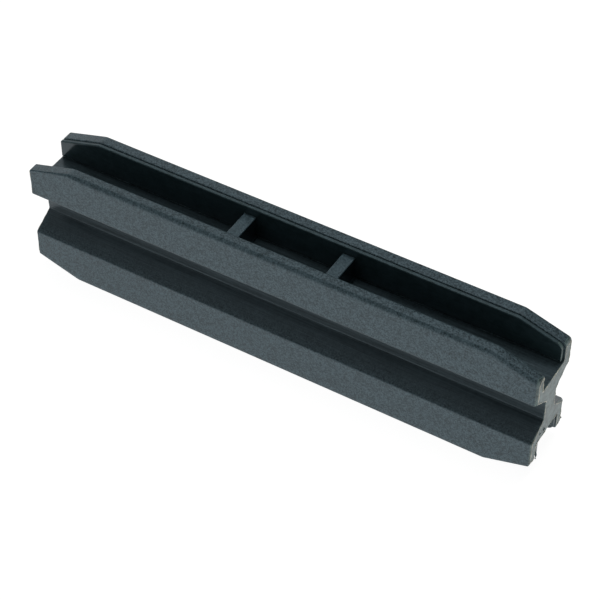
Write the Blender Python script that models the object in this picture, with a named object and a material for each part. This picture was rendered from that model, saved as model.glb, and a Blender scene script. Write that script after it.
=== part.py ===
"""Vibration-damping bar: an I-section beam whose two channels are lined and braced.

The beam lies along X and stands on the edges of its two lower lips, with its origin at the
middle of that base. The section has a web, slanted flanges and four upright lips. Each lip
carries a damping liner on its inner face, and two cross bars in each channel hold the pair
of liners apart. Units are metres, +Z is up.
"""

import bpy
import bmesh

MM = 0.001

# Overall size
LENGTH = 100.0 * MM
WIDTH = 12.2 * MM
HEIGHT = 25.5 * MM

# Beam section, measured from the middle of the section
LIP_THICKNESS = 2.05 * MM
LIP_SHOULDER_Z = 4.6 * MM
WEB_THICKNESS = 3.9 * MM
WEB_HALF_HEIGHT = 2.16 * MM
CHANNEL_FLOOR_Z = 6.35 * MM
BEAM_EDGE_RADIUS = 0.35 * MM

# Both ends of every lip slope down
SLOPE_LENGTH = 8.45 * MM
SLOPE_DROP = 2.6 * MM

# Liners on the lips
FIT_GAP = 0.2 * MM
LINER_STEP = 0.75 * MM
LINER_BELOW_EDGE = 0.4 * MM
LINER_END_SETBACK = 0.4 * MM
LINER_EDGE_RADIUS = 0.12 * MM

# Cross bars between the liners
CROSS_BAR_X = 9.8 * MM
CROSS_BAR_THICKNESS = 2.4 * MM
CROSS_BAR_BELOW_EDGE = 1.75 * MM
CROSS_BAR_EDGE_RADIUS = 0.2 * MM

# Worked out from the sizes above
HALF_LENGTH = LENGTH / 2
HALF_WIDTH = WIDTH / 2
HALF_HEIGHT = HEIGHT / 2
HALF_WEB = WEB_THICKNESS / 2
LIP_INNER_Y = HALF_WIDTH - LIP_THICKNESS
LINER_OUTER_Y = LIP_INNER_Y - FIT_GAP
LINER_INNER_Y = LIP_INNER_Y - LINER_STEP
FLOOR_CLEAR_Z = CHANNEL_FLOOR_Z + FIT_GAP

COLOURS = {
    "moulding": (0.022, 0.025, 0.027, 1.0),
    "liner": (0.012, 0.013, 0.014, 1.0),
    "brace": (0.026, 0.029, 0.031, 1.0),
}
ROUGHNESS = {"moulding": 0.48, "liner": 0.72, "brace": 0.42}


def clear_scene():
    for old in list(bpy.data.objects):
        bpy.data.objects.remove(old, do_unlink=True)


def plastic(node_name, kind):
    """One Principled material for one piece."""
    material = bpy.data.materials.new(node_name)
    material.use_nodes = True
    shader = material.node_tree.nodes["Principled BSDF"]
    shader.inputs["Base Color"].default_value = COLOURS[kind]
    shader.inputs["Roughness"].default_value = ROUGHNESS[kind]
    shader.inputs["Metallic"].default_value = 0.0
    return material


def loft(node_name, sections, kind, edge_radius, segments):
    """Skin a row of matching outlines into one closed body and soften its edges."""
    mesh = bpy.data.meshes.new(node_name)
    work = bmesh.new()
    rings = [[work.verts.new(point) for point in outline] for outline in sections]
    for near, far in zip(rings, rings[1:]):
        for i in range(len(near)):
            j = (i + 1) % len(near)
            work.faces.new((near[i], near[j], far[j], far[i]))
    work.faces.new(rings[0])
    work.faces.new(rings[-1])
    bmesh.ops.recalc_face_normals(work, faces=work.faces)
    work.to_mesh(mesh)
    work.free()
    mesh.materials.append(plastic(node_name, kind))
    piece = bpy.data.objects.new(node_name, mesh)
    bpy.context.scene.collection.objects.link(piece)
    piece.location.z = HALF_HEIGHT
    soften = piece.modifiers.new("edges", "BEVEL")
    soften.width = edge_radius
    soften.segments = segments
    soften.limit_method = "ANGLE"
    soften.miter_outer = "MITER_SHARP"
    return piece


def lip_height(x):
    """Height of a lip's edge above the section's middle at a place along the beam."""
    into_slope = max(0.0, abs(x) - (HALF_LENGTH - SLOPE_LENGTH))
    return HALF_HEIGHT - SLOPE_DROP * into_slope / SLOPE_LENGTH


def beam_outline(x):
    """The I-section at one place: a quarter of it, mirrored four ways round."""
    top = lip_height(x)
    quarter = [
        (HALF_WEB, WEB_HALF_HEIGHT),
        (HALF_WIDTH, LIP_SHOULDER_Z),
        (HALF_WIDTH, top),
        (LIP_INNER_Y, top),
        (LIP_INNER_Y, CHANNEL_FLOOR_Z),
    ]
    upper_rear = quarter
    upper_front = [(-y, z) for y, z in reversed(quarter)]
    lower_front = [(-y, -z) for y, z in quarter]
    lower_rear = [(y, -z) for y, z in reversed(quarter)]
    outline = upper_rear + upper_front + lower_front + lower_rear
    return [(x, y, z) for y, z in outline]


def make_beam():
    """The one-piece I-section moulding that holds everything else."""
    slope_start = HALF_LENGTH - SLOPE_LENGTH
    stations = (-HALF_LENGTH, -slope_start, slope_start, HALF_LENGTH)
    return loft("beam_core", [beam_outline(x) for x in stations], "moulding", BEAM_EDGE_RADIUS, 2)


def make_liner(node_name, side, level):
    """A thin strip on one lip's inner face; its upper edge follows the lip's edge."""
    end = HALF_LENGTH - LINER_END_SETBACK
    slope_start = HALF_LENGTH - SLOPE_LENGTH
    sections = []
    for x in (-end, -slope_start, slope_start, end):
        top = lip_height(x) - LINER_BELOW_EDGE
        corners = (
            (LINER_INNER_Y, FLOOR_CLEAR_Z),
            (LINER_OUTER_Y, FLOOR_CLEAR_Z),
            (LINER_OUTER_Y, top),
            (LINER_INNER_Y, top),
        )
        sections.append([(x, side * y, level * z) for y, z in corners])
    return loft(node_name, sections, "liner", LINER_EDGE_RADIUS, 1)


def make_cross_bar(node_name, centre_x, level):
    """A low wall across a channel that holds the two liners apart."""
    reach = LINER_INNER_Y - FIT_GAP
    top = HALF_HEIGHT - CROSS_BAR_BELOW_EDGE
    sections = []
    for x in (centre_x - CROSS_BAR_THICKNESS / 2, centre_x + CROSS_BAR_THICKNESS / 2):
        corners = ((-reach, FLOOR_CLEAR_Z), (reach, FLOOR_CLEAR_Z), (reach, top), (-reach, top))
        sections.append([(x, y, level * z) for y, z in corners])
    return loft(node_name, sections, "brace", CROSS_BAR_EDGE_RADIUS, 2)


def main():
    clear_scene()
    make_beam()
    for level_name, level in (("upper", 1), ("lower", -1)):
        for side_name, side in (("front", -1), ("rear", 1)):
            make_liner(f"{level_name}_{side_name}_liner", side, level)
        for end_name, end in (("left", -1), ("right", 1)):
            make_cross_bar(f"{level_name}_{end_name}_cross_bar", end * CROSS_BAR_X, level)


main()
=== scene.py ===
import math
import bpy
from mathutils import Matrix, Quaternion, Vector


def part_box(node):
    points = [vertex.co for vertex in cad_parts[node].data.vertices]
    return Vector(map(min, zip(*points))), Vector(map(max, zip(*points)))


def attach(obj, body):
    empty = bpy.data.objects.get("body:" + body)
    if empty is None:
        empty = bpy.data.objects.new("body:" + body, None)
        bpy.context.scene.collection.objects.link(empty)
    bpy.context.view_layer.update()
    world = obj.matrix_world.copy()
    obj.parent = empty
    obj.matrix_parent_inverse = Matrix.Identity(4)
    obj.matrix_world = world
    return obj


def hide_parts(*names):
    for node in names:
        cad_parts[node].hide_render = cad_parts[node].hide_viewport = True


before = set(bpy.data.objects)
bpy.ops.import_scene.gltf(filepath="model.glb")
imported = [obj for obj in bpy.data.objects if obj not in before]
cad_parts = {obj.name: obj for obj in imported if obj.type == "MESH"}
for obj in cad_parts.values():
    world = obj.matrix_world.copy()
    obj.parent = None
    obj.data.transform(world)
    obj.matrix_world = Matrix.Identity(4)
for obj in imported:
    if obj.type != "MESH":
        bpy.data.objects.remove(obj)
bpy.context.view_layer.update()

mm = 0.001
body = "root"
beamLow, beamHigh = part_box("beam_core")
middleZ = (beamHigh.z + beamLow.z) / 2
halfLength = (beamHigh.x - beamLow.x) / 2 / mm    # halves of the beam, in mm like every size below
halfWidth = (beamHigh.y - beamLow.y) / 2 / mm
halfHeight = (beamHigh.z - beamLow.z) / 2 / mm
print("frame loaded,", len(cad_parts), "solids")


# a colour as people write it, "#rrggbb" in sRGB, to the linear values that shaders use
def linearColour(hexText):
    shares = [int(hexText[i:i + 2], 16) / 255 for i in (1, 3, 5)]
    return [c / 12.92 if c <= 0.04045 else ((c + 0.055) / 1.055) ** 2.4 for c in shares] + [1.0]


# adds one node: its sockets are given by name or number, each as a value or as a socket to link from
def addNode(tree, kind, sockets=None, **settings):
    node = tree.nodes.new(kind)
    for name, value in settings.items():
        setattr(node, name, value)
    for socket, value in (sockets or {}).items():
        if isinstance(value, bpy.types.NodeSocket):
            tree.links.new(value, node.inputs[socket])
        else:
            node.inputs[socket].default_value = value
    return node


# one corner of an outline, in mm; a pair is (at the left end, at the right end) of the bar. A corner
# without a rounding only sets the marks at a point of a straight stretch. "lip" is how much of a
# lip's slope the corner follows, and its sign says which way the lip points
def corner(across, up, rounding, lip=0, endEdge=(0.12, 0.12), endCorner=(0, 0), polishAndShade=0, scuff=0):
    acrossEnds, upEnds = (value if isinstance(value, tuple) else (value, value) for value in (across, up))
    return {"at": [Vector(place) for place in zip(acrossEnds, upEnds)], "rounding": rounding,
            "marks": (lip, polishAndShade, scuff, *endEdge, *endCorner)}


arcSteps = 7    # flat pieces in each rounded corner


# rounds the corners of an outline as they are at one end of the bar (0 left, 1 right) and fills its
# straight stretches with even points; the marks run evenly from corner to corner
def roundedOutline(corners, end, spacing):
    spots = [one["at"][end] for one in corners]
    arcs = []
    for i, this in enumerate(corners):
        if this["rounding"] is None:
            arcs.append([(spots[i], this["marks"])])
            continue
        radius = this["rounding"][end]
        toLast = (spots[i - 1] - spots[i]).normalized()
        toNext = (spots[(i + 1) % len(spots)] - spots[i]).normalized()
        half = toLast.angle(toNext) / 2
        turn = math.pi - 2 * half
        centre = spots[i] + (toLast + toNext).normalized() * radius / math.sin(half)
        arm = spots[i] + toLast * radius / math.tan(half) - centre
        side = 1 if toLast.cross(toNext) < 0 else -1
        arc = []
        for step in range(arcSteps + 1):
            angle = side * turn * step / arcSteps
            swung = Vector((arm.x * math.cos(angle) - arm.y * math.sin(angle),
                            arm.x * math.sin(angle) + arm.y * math.cos(angle)))
            arc.append((centre + swung, this["marks"]))
        arcs.append(arc)
    points = []
    for i, arc in enumerate(arcs):
        points += arc
        following = (i + 1) % len(arcs)
        parts = max(1, round((corners[following]["at"][1] - corners[i]["at"][1]).length / spacing))
        (near, nearMarks), (far, farMarks) = arc[-1], arcs[following][0]
        for part in range(1, parts):
            share = part / parts
            marks = tuple(a + (b - a) * share for a, b in zip(nearMarks, farMarks))
            points.append((near.lerp(far, share), marks))
    return points


# a mesh that is only the outline: a closed ring of edges, with what the sweep needs at each point
def outlineObject(name, corners, spacing):
    left, right = (roundedOutline(corners, end, spacing) for end in (0, 1))
    count = len(right)
    mesh = bpy.data.meshes.new(name)
    ring = [(i, (i + 1) % count) for i in range(count)]
    mesh.from_pydata([(place.x * mm, place.y * mm, 0) for place, marks in right], ring, [])
    numbers = ("lip", "polishAndShade", "scuff")
    vectors = ("leftSpot", "outward", "endEdge", "endCorner")
    for key in numbers:
        mesh.attributes.new(key, "FLOAT", "POINT")
    for key in vectors:
        mesh.attributes.new(key, "FLOAT_VECTOR", "POINT")
    for i, (place, marks) in enumerate(right):
        along = (right[(i + 1) % count][0] - right[i - 1][0]).normalized()
        for key, value in zip(numbers, marks):
            mesh.attributes[key].data[i].value = value
        for key, (x, y) in zip(vectors, (left[i][0] * mm, (along.y, -along.x),
                                         (marks[3] * mm, marks[4] * mm), (marks[5] * mm, marks[6] * mm))):
            mesh.attributes[key].data[i].vector = (x, y, 0)
    made = bpy.data.objects.new(name, mesh)
    bpy.context.scene.collection.objects.link(made)
    return made


# a tree with its inputs in the order given, a geometry in and a geometry out
def newTree(name, given, inputs):
    tree = bpy.data.node_groups.new(name, "GeometryNodeTree")
    tree.interface.new_socket(given, in_out="INPUT", socket_type="NodeSocketGeometry")
    tree.interface.new_socket("Made", in_out="OUTPUT", socket_type="NodeSocketGeometry")
    for key, kind in inputs.items():
        tree.interface.new_socket(key, in_out="INPUT", socket_type="NodeSocket" + kind)
    return tree, addNode(tree, "NodeGroupInput").outputs


# the sweep: makes every bar-shaped piece from its outline, with sloped lips and rounded ends
def buildSweep():
    tree, given = newTree("sweptBar", "Outline", {
        "Start": "Float", "End": "Float", "Slope Start": "Float", "Slope Length": "Float",
        "Slope Drop": "Float", "Blend Start": "Float", "Blend End": "Float", "Stations": "Int",
        "Wobble": "Float", "Wobble Size": "Float", "Seed": "Float", "Turn": "Vector",
        "Place": "Vector", "Surface": "Material", "End Surface": "Material",
    })

    leastRadius = 0.001 * mm     # a sharp edge still needs a radius to divide by
    cutFacing = 0.35             # a face that turns this far towards an end counts as cut

    # the outline keeps its own place in "spot", because the sweep turns it
    profile = addNode(tree, "GeometryNodeMeshToCurve", {0: given["Outline"]})
    flat = addNode(tree, "GeometryNodeInputPosition")
    spotted = addNode(tree, "GeometryNodeStoreNamedAttribute",
                      {"Geometry": profile.outputs[0], "Name": "spot", "Value": flat.outputs[0]},
                      data_type="FLOAT_VECTOR", domain="POINT")

    # stations along the bar lie close together near its ends, by a sine
    line = addNode(tree, "GeometryNodeCurvePrimitiveLine", {"Start": (-1, 0, 0), "End": (1, 0, 0)})
    stations = addNode(tree, "GeometryNodeResampleCurve",
                       {"Curve": line.outputs[0], "Count": given["Stations"]})
    where = addNode(tree, "GeometryNodeInputPosition")
    whereX = addNode(tree, "ShaderNodeSeparateXYZ", {0: where.outputs[0]})
    quarter = addNode(tree, "ShaderNodeMath", {0: whereX.outputs[0], 1: math.pi / 2}, operation="MULTIPLY")
    sine = addNode(tree, "ShaderNodeMath", {0: quarter.outputs[0]}, operation="SINE")
    along = addNode(tree, "ShaderNodeMapRange",
                    {"Value": sine.outputs[0], 1: -1.0, 2: 1.0, 3: given["Start"], 4: given["End"]})
    alongX = addNode(tree, "ShaderNodeCombineXYZ", {0: along.outputs[0]})
    path = addNode(tree, "GeometryNodeSetPosition",
                   {"Geometry": stations.outputs[0], "Position": alongX.outputs[0]})
    swept = addNode(tree, "GeometryNodeCurveToMesh",
                    {"Curve": path.outputs[0], "Profile Curve": spotted.outputs[0], "Fill Caps": True})

    # how far a point is from the nearer end, and how far down the slope it is
    seat = addNode(tree, "GeometryNodeInputPosition")
    seatX = addNode(tree, "ShaderNodeSeparateXYZ", {0: seat.outputs[0]}).outputs[0]
    onRight = addNode(tree, "ShaderNodeMath", {0: seatX, 1: 0.0}, operation="GREATER_THAN").outputs[0]
    fromStart = addNode(tree, "ShaderNodeMath", {0: seatX, 1: given["Start"]}, operation="SUBTRACT")
    toFinish = addNode(tree, "ShaderNodeMath", {0: given["End"], 1: seatX}, operation="SUBTRACT")
    toEnd = addNode(tree, "ShaderNodeMath", {0: fromStart.outputs[0], 1: toFinish.outputs[0]},
                    operation="MINIMUM").outputs[0]
    reach = addNode(tree, "ShaderNodeMath", {0: seatX}, operation="ABSOLUTE")
    slopeEnd = addNode(tree, "ShaderNodeMath", {0: given["Slope Start"], 1: given["Slope Length"]},
                       operation="ADD")
    slope = addNode(tree, "ShaderNodeMapRange",
                    {"Value": reach.outputs[0], 1: given["Slope Start"], 2: slopeEnd.outputs[0],
                     3: 0.0, 4: given["Slope Drop"]}).outputs[0]

    # two quarter circles that reach their full depth at the end: an edge's round and a corner's
    named = {}
    for key, kind in (("spot", "FLOAT_VECTOR"), ("leftSpot", "FLOAT_VECTOR"), ("outward", "FLOAT_VECTOR"),
                      ("endEdge", "FLOAT_VECTOR"), ("endCorner", "FLOAT_VECTOR"), ("lip", "FLOAT")):
        named[key] = addNode(tree, "GeometryNodeInputNamedAttribute", {"Name": key},
                             data_type=kind).outputs[0]
    arcs = {}
    for key in ("endEdge", "endCorner"):
        pair = addNode(tree, "ShaderNodeSeparateXYZ", {0: named[key]}).outputs
        chosen = addNode(tree, "ShaderNodeMix", {0: onRight, 2: pair[0], 3: pair[1]}).outputs[0]
        radius = addNode(tree, "ShaderNodeMath", {0: chosen, 1: leastRadius}, operation="MAXIMUM").outputs[0]
        near = addNode(tree, "ShaderNodeMapRange", {"Value": toEnd, 1: radius, 2: 0.0, 3: 0.0, 4: 1.0})
        square = addNode(tree, "ShaderNodeMath", {0: near.outputs[0], 1: 2.0}, operation="POWER")
        rest = addNode(tree, "ShaderNodeMath", {0: 1.0, 1: square.outputs[0]}, operation="SUBTRACT")
        root = addNode(tree, "ShaderNodeMath", {0: rest.outputs[0]}, operation="SQRT")
        dip = addNode(tree, "ShaderNodeMath", {0: 1.0, 1: root.outputs[0]}, operation="SUBTRACT")
        arcs[key] = addNode(tree, "ShaderNodeMath", {0: dip.outputs[0], 1: radius},
                            operation="MULTIPLY").outputs[0]

    # the section at this place: the left end's outline blends into the right end's
    blend = addNode(tree, "ShaderNodeMapRange",
                    {"Value": seatX, 1: given["Blend Start"], 2: given["Blend End"], 3: 0.0, 4: 1.0},
                    interpolation_type="SMOOTHSTEP").outputs[0]
    base = addNode(tree, "ShaderNodeMix", {0: blend, 4: named["leftSpot"], 5: named["spot"]},
                   data_type="VECTOR").outputs[1]
    shift = addNode(tree, "ShaderNodeVectorMath", {0: named["outward"], "Scale": arcs["endEdge"]},
                    operation="SCALE")
    section = addNode(tree, "ShaderNodeVectorMath", {0: base, 1: shift.outputs[0]}, operation="SUBTRACT")
    parts = addNode(tree, "ShaderNodeSeparateXYZ", {0: section.outputs[0]}).outputs
    dropped = addNode(tree, "ShaderNodeMath", {0: slope, 1: arcs["endCorner"]}, operation="ADD")
    lowered = addNode(tree, "ShaderNodeMath", {0: dropped.outputs[0], 1: named["lip"]}, operation="MULTIPLY")
    height = addNode(tree, "ShaderNodeMath", {0: parts[1], 1: lowered.outputs[0]}, operation="SUBTRACT")
    seated = addNode(tree, "ShaderNodeCombineXYZ", {0: seatX, 1: parts[0], 2: height.outputs[0]})
    shaped = addNode(tree, "GeometryNodeSetPosition",
                     {"Geometry": swept.outputs[0], "Position": seated.outputs[0]})

    # slow unevenness, as a moulding cools with: along the surface's own direction
    shapedPlace = addNode(tree, "GeometryNodeInputPosition")
    perSize = addNode(tree, "ShaderNodeMath", {0: 1.0, 1: given["Wobble Size"]}, operation="DIVIDE")
    noise = addNode(tree, "ShaderNodeTexNoise",
                    {"Vector": shapedPlace.outputs[0], "W": given["Seed"], "Scale": perSize.outputs[0],
                     "Detail": 1.0},
                    noise_dimensions="4D")
    centred = addNode(tree, "ShaderNodeMath", {0: noise.outputs[0], 1: 0.5}, operation="SUBTRACT")
    amount = addNode(tree, "ShaderNodeMath", {0: centred.outputs[0], 1: given["Wobble"]},
                     operation="MULTIPLY")
    facing = addNode(tree, "GeometryNodeInputNormal")
    push = addNode(tree, "ShaderNodeVectorMath", {0: facing.outputs[0], "Scale": amount.outputs[0]},
                   operation="SCALE")
    uneven = addNode(tree, "GeometryNodeSetPosition",
                     {"Geometry": shaped.outputs[0], "Offset": push.outputs[0]})

    # the end faces are cut, the rest is moulded
    facingX = addNode(tree, "ShaderNodeSeparateXYZ", {0: facing.outputs[0]})
    endness = addNode(tree, "ShaderNodeMath", {0: facingX.outputs[0]}, operation="ABSOLUTE")
    isEnd = addNode(tree, "ShaderNodeMath", {0: endness.outputs[0], 1: cutFacing}, operation="GREATER_THAN")
    smooth = addNode(tree, "GeometryNodeSetShadeSmooth",
                     {"Geometry": uneven.outputs[0], "Shade Smooth": True})
    cut = addNode(tree, "GeometryNodeSetMaterial",
                  {"Geometry": smooth.outputs[0], "Material": given["Surface"]})
    cut = addNode(tree, "GeometryNodeSetMaterial",
                  {"Geometry": cut.outputs[0], "Selection": isEnd.outputs[0],
                   "Material": given["End Surface"]})
    for key in named:
        cut = addNode(tree, "GeometryNodeRemoveAttribute", {"Geometry": cut.outputs[0], "Name": key})
    moved = addNode(tree, "GeometryNodeTransform",
                    {"Geometry": cut.outputs[0], "Translation": given["Place"], "Rotation": given["Turn"]})
    real = addNode(tree, "GeometryNodeRealizeInstances", {"Geometry": moved.outputs[0]})
    addNode(tree, "NodeGroupOutput", {0: real.outputs[0]})
    return tree


# a burr: a thin ragged thread of torn plastic along a path
def buildBurr():
    threadSides = 6
    noiseLow, noiseHigh = 0.4, 0.68    # the noise that leaves the thread thinnest, and full
    tree, given = newTree("raggedBurr", "Path", {
        "Thickness": "Float", "Thinnest": "Float", "Patch Size": "Float", "Step": "Float", "Seed": "Float",
        "Surface": "Material",
    })
    wire = addNode(tree, "GeometryNodeMeshToCurve", {0: given["Path"]})
    fine = addNode(tree, "GeometryNodeResampleCurve", {"Curve": wire.outputs[0], "Length": given["Step"]},
                   mode="LENGTH")
    here = addNode(tree, "GeometryNodeInputPosition")
    perSize = addNode(tree, "ShaderNodeMath", {0: 1.0, 1: given["Patch Size"]}, operation="DIVIDE")
    noise = addNode(tree, "ShaderNodeTexNoise",
                    {"Vector": here.outputs[0], "W": given["Seed"], "Scale": perSize.outputs[0],
                     "Detail": 2.0},
                    noise_dimensions="4D")
    swell = addNode(tree, "ShaderNodeMapRange",
                    {"Value": noise.outputs[0], 1: noiseLow, 2: noiseHigh, 3: given["Thinnest"], 4: 1.0})
    radius = addNode(tree, "ShaderNodeMath", {0: swell.outputs[0], 1: given["Thickness"]},
                     operation="MULTIPLY")
    ring = addNode(tree, "GeometryNodeCurvePrimitiveCircle", {"Resolution": threadSides, "Radius": 1.0})
    thread = addNode(tree, "GeometryNodeCurveToMesh",
                     {"Curve": fine.outputs[0], "Profile Curve": ring.outputs[0], "Scale": radius.outputs[0],
                      "Fill Caps": True})
    away = addNode(tree, "ShaderNodeVectorMath", {0: noise.outputs[1], 1: (0.5, 0.5, 0.5)},
                   operation="SUBTRACT")
    jitter = addNode(tree, "ShaderNodeVectorMath", {0: away.outputs[0], "Scale": given["Thickness"]},
                     operation="SCALE")
    ragged = addNode(tree, "GeometryNodeSetPosition",
                     {"Geometry": thread.outputs[0], "Offset": jitter.outputs[0]})
    real = addNode(tree, "GeometryNodeRealizeInstances", {"Geometry": ragged.outputs[0]})
    finish = addNode(tree, "GeometryNodeSetMaterial",
                     {"Geometry": real.outputs[0], "Material": given["Surface"]})
    addNode(tree, "NodeGroupOutput", {0: finish.outputs[0]})
    return tree


# runs a tree on an object and leaves a plain mesh that rides on the body
def finishPiece(piece, tree, values, slot, *replaced):
    modifier = piece.modifiers.new(tree.name, "NODES")
    modifier.node_group = tree
    identifiers = {item.name: item.identifier for item in tree.interface.items_tree if item.in_out == "INPUT"}
    for key, value in values.items():
        modifier[identifiers[key]] = value
    made = piece.evaluated_get(bpy.context.evaluated_depsgraph_get())
    mesh = bpy.data.meshes.new_from_object(made)
    piece.modifiers.remove(modifier)
    bare = piece.data
    piece.data = mesh
    bpy.data.meshes.remove(bare)
    mesh.name = piece.name
    if replaced:
        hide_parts(*replaced)
    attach(piece, body)
    print(f"{piece.name}: {len(mesh.vertices)} points, {len(mesh.polygons)} faces")


# the noise's usual low and high values, at which a roughness reaches its own ends
noiseSwing = {"low": 0.3, "high": 0.7}


# plastic out of a spark-eroded mould: a close mottled grain on the outer faces, and fine draw lines
# along the bar in the grooves and channels, where the polish mark is 1; there the colour is also
# darkened, as painted shade. Where "scuff" is 1, short strokes cross the bar. The real grain is near
# 0.1 mm, too fine to show, so it is drawn two to four times as coarse. Sizes are in mm, and the tint
# is for the sheen
def mouldedPlastic(name, look):
    strokeLength = look["stroke"] * 8     # across the bar
    scuffFrom = 0.9              # the strokes fade out just past the bevel
    material = bpy.data.materials.new(name)
    material.use_nodes = True
    tree = material.node_tree
    shader = tree.nodes["Principled BSDF"]
    shader.inputs["IOR"].default_value = look["ior"]
    shader.inputs["Specular Tint"].default_value = linearColour(look["sheenTint"])
    spot = addNode(tree, "ShaderNodeTexCoord").outputs["Object"]
    fields = {}
    for key, size in (("grain", [look["grain"]] * 3), ("blotch", [look["blotch"]] * 3),
                      ("line", (look["lineLength"], look["line"], look["line"])),
                      ("stroke", (look["stroke"], strokeLength, strokeLength))):
        scaled = addNode(tree, "ShaderNodeMapping", {"Vector": spot, "Scale": [1 / (s * mm) for s in size]})
        fields[key] = addNode(tree, "ShaderNodeTexNoise",
                              {"Vector": scaled.outputs[0], "Scale": 1.0, "Detail": 3.0,
                               "Roughness": 0.6, "Distortion": 0.4}).outputs[0]
    polishAndShade = addNode(tree, "ShaderNodeAttribute", attribute_name="polishAndShade").outputs["Fac"]
    scuff = addNode(tree, "ShaderNodeAttribute", attribute_name="scuff").outputs["Fac"]
    scuffed = addNode(tree, "ShaderNodeMapRange",
                      {"Value": scuff, 1: scuffFrom, 2: 1.0, 3: 0.0, 4: 1.0}).outputs[0]
    faint = addNode(tree, "ShaderNodeMapRange", {"Value": fields["line"], 3: 0.5 - look["lineShare"] / 2,
                                                 4: 0.5 + look["lineShare"] / 2}).outputs[0]
    relief = addNode(tree, "ShaderNodeMix", {"Factor": polishAndShade, 2: fields["grain"], 3: faint}).outputs[0]
    scuffed = addNode(tree, "ShaderNodeMath", {0: scuffed, 1: look["scuffShare"]},
                      operation="MULTIPLY").outputs[0]
    relief = addNode(tree, "ShaderNodeMix", {"Factor": scuffed, 2: relief, 3: fields["stroke"]}).outputs[0]

    # colour: the relief gives small specks, the blotch slow clouds
    cloud = addNode(tree, "ShaderNodeMath", {0: fields["blotch"], 1: look["cloud"]}, operation="MULTIPLY")
    mottle = addNode(tree, "ShaderNodeMath", {0: cloud.outputs[0], 1: relief}, operation="ADD")
    middle = (1 + look["cloud"]) / 2
    tone = addNode(tree, "ShaderNodeMapRange", {"Value": mottle.outputs[0], 1: middle - look["contrast"],
                                                2: middle + look["contrast"], 3: 0.0, 4: 1.0}).outputs[0]
    dark, light = linearColour(look["dark"]), linearColour(look["light"])
    colour = addNode(tree, "ShaderNodeMix", {"Factor": tone, 6: dark, 7: light}, data_type="RGBA").outputs[2]
    # painted shade: where the polish mark is 1, down in the grooves and channels, the colour is darkened
    shade = addNode(tree, "ShaderNodeMapRange",
                    {"Value": polishAndShade, 3: 1.0, 4: look["polishedPaintedShade"]}).outputs[0]
    shaded = addNode(tree, "ShaderNodeVectorMath", {0: colour, "Scale": shade}, operation="SCALE")
    tree.links.new(shaded.outputs[0], shader.inputs["Base Color"])
    low = addNode(tree, "ShaderNodeMapRange",
                  {"Value": polishAndShade, 3: look["roughLow"], 4: look["polishedLow"]}).outputs[0]
    high = addNode(tree, "ShaderNodeMapRange",
                   {"Value": polishAndShade, 3: look["roughHigh"], 4: look["polishedHigh"]}).outputs[0]
    rough = addNode(tree, "ShaderNodeMapRange",
                    {"Value": relief, 1: noiseSwing["low"], 2: noiseSwing["high"], 3: low, 4: high})
    tree.links.new(rough.outputs[0], shader.inputs["Roughness"])
    bump = addNode(tree, "ShaderNodeBump",
                   {"Height": relief, "Distance": look["depth"] * mm, "Strength": look["strength"]})
    tree.links.new(bump.outputs[0], shader.inputs["Normal"])
    return material


# plastic that was cut or torn: paler, with the saw's strokes across it; it also gives the pale ivory threads
# that paint the highlight on the end edges. Sizes are in mm
def sawnPlastic(name, look):
    strokeLength = look["stroke"] * 12    # along the saw's cut
    toneLow, toneHigh = 0.38, 0.62        # the noise that gives the dark colour, and the light one
    material = bpy.data.materials.new(name)
    material.use_nodes = True
    tree = material.node_tree
    shader = tree.nodes["Principled BSDF"]
    shader.inputs["IOR"].default_value = look["ior"]
    spot = addNode(tree, "ShaderNodeTexCoord").outputs["Object"]
    turned = addNode(tree, "ShaderNodeMapping",
                     {"Vector": spot, "Rotation": (math.radians(look["lean"]), 0, 0)})
    fields = []
    for size in ((look["stroke"], look["stroke"], strokeLength), [look["smear"]] * 3):
        scaled = addNode(tree, "ShaderNodeMapping",
                         {"Vector": turned.outputs[0], "Scale": [1 / (s * mm) for s in size]})
        fields.append(addNode(tree, "ShaderNodeTexNoise",
                              {"Vector": scaled.outputs[0], "Scale": 1.0, "Detail": 3.0,
                               "Roughness": 0.6}).outputs[0])
    both = addNode(tree, "ShaderNodeMix", {"Factor": 0.5, 2: fields[0], 3: fields[1]}).outputs[0]
    tone = addNode(tree, "ShaderNodeMapRange",
                   {"Value": both, 1: toneLow, 2: toneHigh, 3: 0.0, 4: 1.0}).outputs[0]
    dark, light = linearColour(look["dark"]), linearColour(look["light"])
    colour = addNode(tree, "ShaderNodeMix", {"Factor": tone, 6: dark, 7: light}, data_type="RGBA").outputs[2]
    tree.links.new(colour, shader.inputs["Base Color"])
    rough = addNode(tree, "ShaderNodeMapRange",
                    {"Value": fields[0], 1: noiseSwing["low"], 2: noiseSwing["high"],
                     3: look["roughLow"], 4: look["roughHigh"]})
    tree.links.new(rough.outputs[0], shader.inputs["Roughness"])
    bump = addNode(tree, "ShaderNodeBump",
                   {"Height": both, "Distance": look["depth"] * mm, "Strength": look["strength"]})
    tree.links.new(bump.outputs[0], shader.inputs["Normal"])
    return material


# glass-filled nylon, spark-eroded: satin and blue-black, with fine specks; darker in the grooves and channel
# floors as painted shade
sparkedNylon = mouldedPlastic("sparkErodedNylonBlack", {
    "ior": 1.52, "sheenTint": "#dcf2ff",
    "grain": 0.27, "blotch": 1.0, "line": 0.2, "lineLength": 12.0, "lineShare": 0.5, "stroke": 0.3,
    "dark": "#0c1c1f", "light": "#506269", "contrast": 0.12, "cloud": 0.15,
    "polishedPaintedShade": 0.48, "scuffShare": 0.3, "depth": 0.022, "strength": 0.7,
    "roughLow": 0.34, "roughHigh": 0.6, "polishedLow": 0.26, "polishedHigh": 0.34,
})
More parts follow.
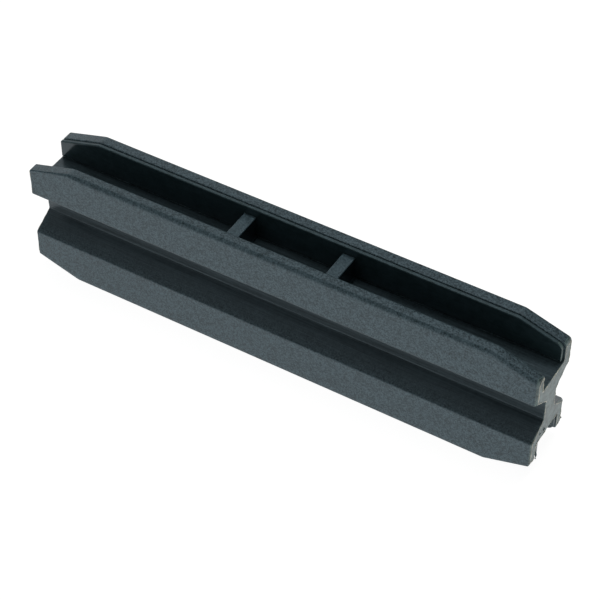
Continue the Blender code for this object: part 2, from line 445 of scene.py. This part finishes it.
# moulded elastomer with a smooth skin: nearly black, with a soft gleam along its edges; below its top edge
# the colour is darkened as painted shade
linerRubber = mouldedPlastic("smoothElastomerBlack", {
    "ior": 1.51, "sheenTint": "#dcf2ff",
    "grain": 0.4, "blotch": 2.0, "line": 0.4, "lineLength": 9.0, "lineShare": 0.25, "stroke": 0.25,
    "dark": "#1a2a2a", "light": "#3d5056", "contrast": 0.3, "cloud": 0.6,
    "polishedPaintedShade": 0.7, "scuffShare": 0.0, "depth": 0.003, "strength": 0.5,
    "roughLow": 0.4, "roughHigh": 0.6, "polishedLow": 0.12, "polishedHigh": 0.2,
})
# unfilled nylon, satin: a little smoother and more even than the beam; its sides are darkened as painted
# shade
ribNylon = mouldedPlastic("satinNylonBlack", {
    "ior": 1.52, "sheenTint": "#dcf2ff",
    "grain": 0.32, "blotch": 1.5, "line": 0.3, "lineLength": 3.0, "lineShare": 0.4, "stroke": 0.2,
    "dark": "#16272c", "light": "#495d65", "contrast": 0.18, "cloud": 0.3,
    "polishedPaintedShade": 0.3, "scuffShare": 0.0, "depth": 0.006, "strength": 0.5,
    "roughLow": 0.36, "roughHigh": 0.52, "polishedLow": 0.14, "polishedHigh": 0.26,
})
# the beam's nylon where a saw cut it: grey, with fine slanting strokes and smears
sawnNylon = sawnPlastic("sawnNylonGrey", {
    "ior": 1.52, "stroke": 0.14, "smear": 1.1, "lean": 28, "dark": "#263636", "light": "#698080",
    "roughLow": 0.3, "roughHigh": 0.55, "depth": 0.04, "strength": 0.8,
})
# matt ivory threads round the sawn ends, pale as a painted highlight on the end edges
edgeHighlightPaint = sawnPlastic("paintedEdgeHighlightIvory", {
    "ior": 1.52, "stroke": 0.15, "smear": 0.5, "lean": 0, "dark": "#9a9c90", "light": "#dddbcb",
    "roughLow": 0.4, "roughHigh": 0.6, "depth": 0.01, "strength": 0.5,
})
print("materials made")

sweepTree = buildSweep()
burrTree = buildBurr()

# sizes in mm; a pair is (at the left end, at the right end)
beam = {
    "lipThickness": 2.05,
    "shoulderHeight": 4.6,       # from the middle of the section up to where a lip's outer face starts
    "webThickness": 3.9,
    "webHalfHeight": 2.16,
    "floorHeight": 6.35,         # channel floor, from the middle of the section
    "slopeLength": 8.45,         # each end of a lip slopes down over this length
    "slopeDrop": 2.6,
    "innerRound": (0.2, 0.2),
    "grooveRound": (0.5, 0.5),
    "floorRound": (0.4, 0.4),
    "edgeRoundGrows": (-47, -37),  # left values turn into right ones between these places
    "channelShineAndShade": 0.75,        # how polished the channel floors are, and how far painted shade darkens them, from 0 to 1
    "shineAndShadeHeight": 0.4,          # how far up from a shoulder its polish and painted shade fade out
    "stations": 260,
    "pointSpacing": 0.8,
    "wobble": 0.016,             # slow unevenness of the moulded faces
    "wobbleSize": 6.0,
    "seed": 4.0,
    # the upper front lip's outer edge is worn to a soft bevel
    "bevelIn": (0.15, 0.5),
    "bevelDown": (0.15, 0.64),
    "bevelRound": (0.16, 1.0),   # where the bevel meets the outer face
    # each lip: its outer edge, its shoulder and how polished and painted dark that is, its end edges in
    # plan, its end corner from the side
    "upperRear": {"edge": (0.2, 0.25), "shoulder": (0.2, 0.2), "shineAndShade": 0.5,
                  "endEdge": (0.12, 0.12), "endCorner": (0.45, 0.6)},
    "upperFront": {"edge": (0.16, 0.35), "shoulder": (0.16, 0.16), "shineAndShade": 0.5,
                   "endEdge": (0.12, 0.58), "endCorner": (0.1, 0.2)},
    "lowerFront": {"edge": (0.22, 0.25), "shoulder": (0.5, 0.5), "shineAndShade": 0.3,
                   "endEdge": (0.12, 0.34), "endCorner": (0.15, 0.3)},
    "lowerRear": {"edge": (0.22, 0.25), "shoulder": (0.2, 0.2), "shineAndShade": 0.3,
                  "endEdge": (0.12, 0.6), "endCorner": (0.2, 0.2)},
}


# one quadrant of the I-section, from the web's foot out to the channel floor
def beamQuadrant(lipName, across, up):
    lip = beam[lipName]
    web = beam["webThickness"] / 2
    inner = halfWidth - beam["lipThickness"]
    shoulder = beam["shoulderHeight"]
    outer = {"lip": up, "endEdge": lip["endEdge"], "endCorner": lip["endCorner"]}
    # the polish mark on the groove feet, shoulders and channel floors also darkens the colour there as
    # painted shade
    corners = [
        corner(web, beam["webHalfHeight"], beam["grooveRound"], polishAndShade=1),
        corner(halfWidth, shoulder, lip["shoulder"], endEdge=lip["endEdge"], polishAndShade=lip["shineAndShade"]),
        corner(halfWidth, shoulder + beam["shineAndShadeHeight"], None, endEdge=lip["endEdge"]),
    ]
    if lipName == "upperFront":
        starts = tuple(halfHeight - down for down in beam["bevelDown"])
        edges = tuple(halfWidth - reach for reach in beam["bevelIn"])
        corners += [corner(halfWidth, starts, beam["bevelRound"], **outer, scuff=1),
                    corner(edges, halfHeight, lip["edge"], **outer, scuff=1)]
    else:
        corners.append(corner(halfWidth, halfHeight, lip["edge"], **outer))
    corners += [
        corner(inner, halfHeight, beam["innerRound"], lip=up, endCorner=lip["endCorner"]),
        corner(inner, beam["floorHeight"], beam["floorRound"], polishAndShade=beam["channelShineAndShade"]),
    ]
    for one in corners:
        one["at"] = [Vector((spot.x * across, spot.y * up)) for spot in one["at"]]
    return corners if across * up > 0 else corners[::-1]


beamCorners = (beamQuadrant("upperRear", 1, 1) + beamQuadrant("upperFront", -1, 1)
               + beamQuadrant("lowerFront", -1, -1) + beamQuadrant("lowerRear", 1, -1))
shared = {
    "Slope Start": (halfLength - beam["slopeLength"]) * mm,
    "Slope Length": beam["slopeLength"] * mm,
    "Slope Drop": beam["slopeDrop"] * mm,
    "Blend Start": beam["edgeRoundGrows"][0] * mm,
    "Blend End": beam["edgeRoundGrows"][1] * mm,
    "Place": (0, 0, middleZ),
}
beamPiece = outlineObject("beamMoulding", beamCorners, beam["pointSpacing"])
finishPiece(beamPiece, sweepTree, {
    **shared,
    "Start": -halfLength * mm,
    "End": halfLength * mm,
    "Stations": beam["stations"],
    "Wobble": beam["wobble"] * mm,
    "Wobble Size": beam["wobbleSize"] * mm,
    "Seed": beam["seed"],
    "Surface": sparkedNylon,
    "End Surface": sawnNylon,
}, "beam", "beam_core")

# sizes in mm, by piece where the four differ
liner = {
    "thickness": 0.66,
    "topBelowLip": {"upper_front_liner": 0.75, "upper_rear_liner": 0.17,
                    "lower_front_liner": 0.4, "lower_rear_liner": 0.4},
    "edgeRound": (0.1, 0.1),
    "innerRound": (0.18, 0.18),  # along its top edge, on the channel's side
    "shineAndShadeBelowTop": 0.36,       # the liner's grain fades out, and its painted shade sets in, this far below its top
    "endEdge": (0.06, 0.08),
    "endCorner": (0.1, 0.9),
    "stations": 150,
    "pointSpacing": 0.9,
    "wobble": 0.008,
    "wobbleSize": 4.0,
    "rightSetback": {"upper_front_liner": 0.4, "upper_rear_liner": 0.4,
                     "lower_front_liner": 0.0, "lower_rear_liner": 0.2},
}


# a liner is a thin strip on a lip's inner face; its left end is flush with the beam's
def makeLiner(node, side, level, seed):
    low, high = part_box(node)
    inner = min(abs(low.y), abs(high.y)) / mm
    foot = abs((low.z if level > 0 else high.z) - middleZ) / mm
    top = halfHeight - liner["topBelowLip"][node]
    corners = []
    outer = inner + liner["thickness"]
    edge, topEdge = liner["edgeRound"], liner["innerRound"]
    for reach, up, rounding, onLip in ((inner, foot, edge, 0), (outer, foot, edge, 0), (outer, top, edge, 1),
                                       (inner, top, topEdge, 1),
                                       (inner, top - liner["shineAndShadeBelowTop"], None, 1)):
        corners.append(corner(side * reach, level * up, rounding, lip=level * onLip,
                              endEdge=liner["endEdge"], polishAndShade=0 if up == top else 1,
                              endCorner=liner["endCorner"] if onLip else (0, 0)))
    piece = outlineObject(node + "Strip", corners if side * level > 0 else corners[::-1],
                          liner["pointSpacing"])
    finishPiece(piece, sweepTree, {
        **shared,
        "Start": -halfLength * mm,
        "End": (halfLength - liner["rightSetback"][node]) * mm,
        "Stations": liner["stations"],
        "Wobble": liner["wobble"] * mm,
        "Wobble Size": liner["wobbleSize"] * mm,
        "Seed": seed,
        "Surface": linerRubber,
        # painted light and shade: the upper liners' cut ends take the pale sawn grey, the lower ones the dark
        # rubber
        "End Surface": sawnNylon if level > 0 else linerRubber,
    }, "liner", node)


# sizes in mm, for all four cross bars
crossBar = {
    "footFlare": 0.35,           # how far the foot spreads where it meets the channel floor
    "footRound": (0.02, 0.02),
    "flareRound": 0.8,           # the fillet's radius over the flare
    "endReach": 0.18,            # how much closer it comes to each liner than its solid does
    "topRound": (0.14, 0.14),
    "shineAndShadeBelowTop": 0.28,       # the top's grain fades out, and the sides' painted shade sets in, this far down the sides
    "endEdge": (0.03, 0.03),
    "stations": 26,
    "pointSpacing": 0.5,
    "wobble": 0.012,
    "wobbleSize": 2.5,
}


# a cross bar is swept across the channel; its outline is its side view, with flared feet
def makeCrossBar(node, level, seed):
    low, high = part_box(node)
    half = (high.x - low.x) / 2 / mm
    foot, top = sorted((abs(low.z - middleZ) / mm, abs(high.z - middleZ) / mm))
    flare, ends = crossBar["footFlare"], crossBar["endEdge"]
    fillet = flare * crossBar["flareRound"]
    right = [corner(half + flare, foot, crossBar["footRound"], endEdge=ends, polishAndShade=1),
             corner(half, foot + flare, (fillet, fillet), endEdge=ends, polishAndShade=1),
             corner(half, top - crossBar["shineAndShadeBelowTop"], None, endEdge=ends, polishAndShade=1),
             corner(half, top, crossBar["topRound"], endEdge=ends)]
    left = [{**one, "at": [Vector((-spot.x, spot.y)) for spot in one["at"]]} for one in right[::-1]]
    corners = [{**one, "at": [Vector((spot.x, spot.y * level)) for spot in one["at"]]}
               for one in right + left]
    piece = outlineObject(node + "Rib", corners if level > 0 else corners[::-1], crossBar["pointSpacing"])
    finishPiece(piece, sweepTree, {
        "Start": low.y - crossBar["endReach"] * mm,
        "End": high.y + crossBar["endReach"] * mm,
        "Slope Start": high.y * 2,    # past its ends, so a cross bar has no slope
        "Slope Length": 1.0 * mm,
        "Slope Drop": 0.0,
        "Blend Start": low.y,
        "Blend End": high.y,
        "Stations": crossBar["stations"],
        "Wobble": crossBar["wobble"] * mm,
        "Wobble Size": crossBar["wobbleSize"] * mm,
        "Seed": seed,
        "Turn": (0, 0, math.pi / 2),
        "Place": ((low.x + high.x) / 2, 0, middleZ),
        "Surface": ribNylon,
        "End Surface": ribNylon,
    }, "cross_bar", node)


seed = 10.0
for levelName, level in (("upper", 1), ("lower", -1)):
    for sideName, side in (("front", -1), ("rear", 1)):
        seed += 1
        makeLiner(f"{levelName}_{sideName}_liner", side, level, seed)
    for endName in ("left", "right"):
        seed += 1
        makeCrossBar(f"{levelName}_{endName}_cross_bar", level, seed)
print("beam, liners and cross bars made")

# thin threads of plastic, sizes in mm; the thinnest is a share of the thickness
burr = {
    "seed": 31.0,
    "sawnEnds": {"thickness": 0.12, "thinnest": 0.15, "patchSize": 1.4, "step": 0.12},
    "channelFeet": {"thickness": 0.09, "thinnest": 0.2, "patchSize": 3.0, "step": 0.5},
    "tornTabs": {"thickness": 0.2, "thinnest": 0.4, "patchSize": 0.5, "step": 0.08},
    # where torn tabs hang on the right end, each from one (across, up) to another, from the middle
    "tabs": (((-1.15, -5.0), (-1.6, -5.3)), ((-2.8, -4.75), (-3.2, -5.0)), ((5.8, -9.0), (6.0, -9.4))),
    "linerTab": ((-3.7, -8.6), (-3.6, -10.4)),
}


# paths are lists of points, and each is closed or open
def makeBurr(name, paths, look, surface, seed):
    points, edges = [], []
    for path, closed in paths:
        first = len(points)
        points += path
        edges += [(first + i, first + i + 1) for i in range(len(path) - 1)]
        if closed:
            edges.append((len(points) - 1, first))
    mesh = bpy.data.meshes.new(name)
    mesh.from_pydata(points, edges, [])
    piece = bpy.data.objects.new(name, mesh)
    bpy.context.scene.collection.objects.link(piece)
    finishPiece(piece, burrTree, {
        "Thickness": look["thickness"] * mm,
        "Thinnest": look["thinnest"],
        "Patch Size": look["patchSize"] * mm,
        "Step": look["step"] * mm,
        "Seed": seed,
        "Surface": surface,
    }, "beam")


# the border of the beam's end face: direction is -1 for the left end, 1 for the right
def endBorder(direction):
    mesh = beamPiece.data
    face = max(mesh.polygons, key=lambda one: one.area * one.normal.x * direction)
    return [mesh.vertices[i].co.copy() for i in face.vertices]


# threads round both end faces, coloured pale ivory as a painted highlight on the end edges
makeBurr("sawnEndHighlightThread", [(endBorder(-1), True), (endBorder(1), True)], burr["sawnEnds"], edgeHighlightPaint,
         burr["seed"])
feet = []
for node in ("upper_front_liner", "upper_rear_liner", "lower_front_liner", "lower_rear_liner"):
    low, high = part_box(node)
    inner = min(low.y, high.y, key=abs)
    footZ = min(low.z, high.z, key=lambda z: abs(z - middleZ))
    feet.append(([Vector((x, inner, footZ)) for x in (low.x, 0, high.x)], False))
makeBurr("channelFootFlash", feet, burr["channelFeet"], linerRubber, burr["seed"] + 1)
tabs = [([Vector((halfLength * mm, y * mm, z * mm + middleZ)) for y, z in tab], False)
        for tab in burr["tabs"]]
makeBurr("tornTabs", tabs, burr["tornTabs"], sawnNylon, burr["seed"] + 2)
linerTab = [Vector((halfLength * mm, y * mm, z * mm + middleZ)) for y, z in burr["linerTab"]]
makeBurr("tornLinerTab", [(linerTab, False)], burr["tornTabs"], linerRubber, burr["seed"] + 3)
print("burrs made")

# a back-lit white sheet: bright all over, with at most a faint shadow where the bar stands
studioFloor = {"halfSize": 1500, "below": 0.05, "colour": "#7c7c7c", "glow": 0.95, "roughness": 0.9}


def makeFloor():
    size = studioFloor["halfSize"] * mm
    mesh = bpy.data.meshes.new("studioFloor")
    mesh.from_pydata([(-size, -size, 0), (size, -size, 0), (size, size, 0), (-size, size, 0)], [],
                     [(0, 1, 2, 3)])
    floor = bpy.data.objects.new("studioFloor", mesh)
    floor.location.z = -studioFloor["below"] * mm
    bpy.context.scene.collection.objects.link(floor)
    material = bpy.data.materials.new("backlitAcrylicWhite")
    material.use_nodes = True
    shader = material.node_tree.nodes["Principled BSDF"]
    shader.inputs["Base Color"].default_value = linearColour(studioFloor["colour"])
    shader.inputs["Roughness"].default_value = studioFloor["roughness"]
    shader.inputs["Specular IOR Level"].default_value = 0.0
    shader.inputs["Emission Color"].default_value = linearColour("#ffffff")
    shader.inputs["Emission Strength"].default_value = studioFloor["glow"]
    mesh.materials.append(material)


# a dim room with soft boxes; angles in degrees, sizes in mm, power in watts
softBoxes = {
    "size": 350,
    "distance": 700,
    "roomGlow": 0.08,
    "boxes": {
        "overheadRear": {"azimuth": 90, "elevation": 76, "power": 1.9},
        "overheadFront": {"azimuth": 270, "elevation": 76, "power": 0.18},
        "frontLeft": {"azimuth": 225, "elevation": 48, "power": 0.22},
        "frontRightLow": {"azimuth": 300, "elevation": 15, "power": 0.3},
        "rearLeft": {"azimuth": 140, "elevation": 25, "power": 0.65},
    },
}


def makeLights():
    world = bpy.data.worlds.new("studioRoom")
    world.use_nodes = True
    world.node_tree.nodes["Background"].inputs["Color"].default_value = linearColour("#ffffff")
    world.node_tree.nodes["Background"].inputs["Strength"].default_value = softBoxes["roomGlow"]
    bpy.context.scene.world = world
    for name, box in softBoxes["boxes"].items():
        light = bpy.data.lights.new(name, "AREA")
        light.shape = "SQUARE"
        light.size = softBoxes["size"] * mm
        light.energy = box["power"]
        azimuth, elevation = math.radians(box["azimuth"]), math.radians(box["elevation"])
        level = math.cos(elevation)
        towards = Vector((math.cos(azimuth) * level, math.sin(azimuth) * level, math.sin(elevation)))
        lamp = bpy.data.objects.new(name, light)
        lamp.location = Vector((0, 0, middleZ)) + towards * softBoxes["distance"] * mm
        lamp.rotation_mode = "QUATERNION"
        lamp.rotation_quaternion = towards.to_track_quat("Z", "Y")
        lamp.visible_camera = False
        bpy.context.scene.collection.objects.link(lamp)


# angles in degrees, lengths in mm, the aim measured from the object's middle
cameraView = {
    "azimuth": 30.866, "elevation": 44.902, "roll": 0.089, "distance": 347.93,
    "aim": (2.04, 0.16, -0.92), "lens": 120.6, "sensor": 36, "nearest": 10,
}


def makeCamera():
    camera = bpy.data.objects.new("camera", bpy.data.cameras.new("camera"))
    bpy.context.scene.collection.objects.link(camera)
    azimuth, elevation, roll = (math.radians(cameraView[key]) for key in ("azimuth", "elevation", "roll"))
    level = math.cos(elevation)
    back = Vector((math.sin(azimuth) * level, -math.cos(azimuth) * level, math.sin(elevation)))
    aim = Vector((0, 0, middleZ)) + Vector(cameraView["aim"]) * mm
    camera.location = aim + back * cameraView["distance"] * mm
    camera.rotation_mode = "QUATERNION"
    camera.rotation_quaternion = back.to_track_quat("Z", "Y") @ Quaternion((0, 0, 1), roll)
    camera.data.sensor_width = cameraView["sensor"]
    camera.data.lens = cameraView["lens"]
    camera.data.clip_start = cameraView["nearest"] * mm
    bpy.context.scene.camera = camera


makeFloor()
makeLights()
makeCamera()
bpy.context.scene.view_settings.view_transform = "Standard"
print("studio made")
